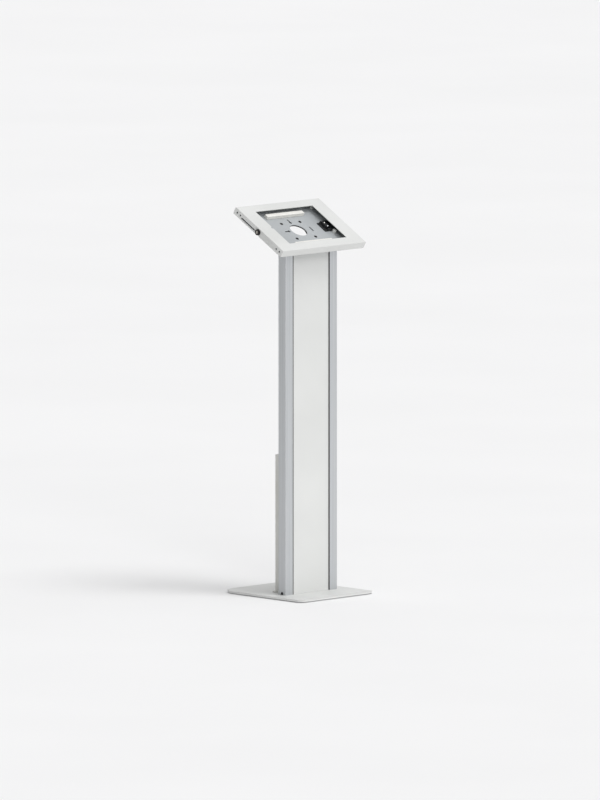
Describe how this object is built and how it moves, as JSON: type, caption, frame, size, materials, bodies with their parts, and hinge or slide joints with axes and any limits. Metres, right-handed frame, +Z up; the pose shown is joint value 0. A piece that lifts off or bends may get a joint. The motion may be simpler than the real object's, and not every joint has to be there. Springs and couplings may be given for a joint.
{
  "type": "tablet kiosk stand",
  "caption": "Free-standing tablet kiosk: flat base, post-and-panel column, and a tilted locking steel enclosure with a hinged window frame and a pull-off rear cable cover.",
  "frame": {"origin": "on the floor, under the middle of the base plate", "axes": "+X to the right-hand side of a person using the stand, +Y to the rear, +Z up"},
  "size_m": [0.3482, 0.335, 1.1337],
  "materials": {
    "powder_coated_steel": "fine satin powder coat",
    "grey_coated_steel": "satin powder coat",
    "black_coated_steel": "satin powder coat",
    "coated_panel_aluminium": "smooth satin coat",
    "anodised_aluminium": "fine satin anodised",
    "moulded_white_plastic": "fine moulded grain",
    "moulded_grey_plastic": "matt",
    "black_plastic": "matt",
    "black_rubber": "matt",
    "pale_foam": "closed-cell foam",
    "zinc_steel": "zinc plated",
    "black_oxide_steel": "black oxide",
    "nickel_plated_brass": "satin nickel"
  },
  "bodies": {
    "stand": {"base_plate": "powder_coated_steel", "rear_panel": "powder_coated_steel", "base_bracket": "grey_coated_steel", "top_bracket": "grey_coated_steel", "back_tray": "grey_coated_steel", "head_bracket": "black_coated_steel", "front_panel": "coated_panel_aluminium", "left_post": "anodised_aluminium", "right_post": "anodised_aluminium", "left_post_cap": "moulded_grey_plastic", "right_post_cap": "moulded_grey_plastic", "corner_stops": "moulded_grey_plastic", "lead_guide": "moulded_grey_plastic", "clamp_base": "black_plastic", "clamp_saddle": "black_plastic", "base_pads": "black_rubber", "panel_strips": "black_rubber", "upper_foam_bar": "pale_foam", "lower_foam_bar": "pale_foam", "base_nuts": "zinc_steel", "post_inserts": "zinc_steel", "post_screws": "zinc_steel", "base_screws": "zinc_steel", "head_bracket_screws": "zinc_steel", "head_bracket_nuts": "zinc_steel", "mount_nuts": "zinc_steel", "upper_hinge_tray_leaf": "zinc_steel", "lower_hinge_tray_leaf": "zinc_steel", "hinge_pins": "zinc_steel", "tray_rivets": "zinc_steel", "lock_clip": "zinc_steel", "saddle_screws": "zinc_steel", "mount_screws": "black_oxide_steel", "clamp_screws": "black_oxide_steel", "lock_barrel": "black_oxide_steel"},
    "lid": {"front_frame": "powder_coated_steel", "upper_hinge_frame_leaf": "zinc_steel", "lower_hinge_frame_leaf": "zinc_steel", "frame_rivets": "zinc_steel", "lock_hook": "zinc_steel"},
    "lock_core": {"lock_plug": "nickel_plated_brass", "lock_cam": "zinc_steel", "cam_screw": "zinc_steel"},
    "rear_cover": {"rear_cover": "moulded_white_plastic", "cover_magnets": "zinc_steel", "cable_grommet": "black_rubber"}
  },
  "joints": [
    {"name": "lid_hinge", "type": "hinge", "parent": "stand", "child": "lid", "pos_m": [0.1715, -0.00375, 1.0592], "axis": [0, 0.866, 0.5], "range_deg": [0, 105]},
    {"name": "lock_turn", "type": "hinge", "parent": "stand", "child": "lock_core", "pos_m": [-0.16, -0.00925, 1.06873], "axis": [-1, 0, 0], "range_deg": [0, 90]},
    {"name": "cover_pull", "type": "slide", "parent": "stand", "child": "rear_cover", "axis": [0, 1, 0], "range_m": [0, 0.06]}
  ]
}
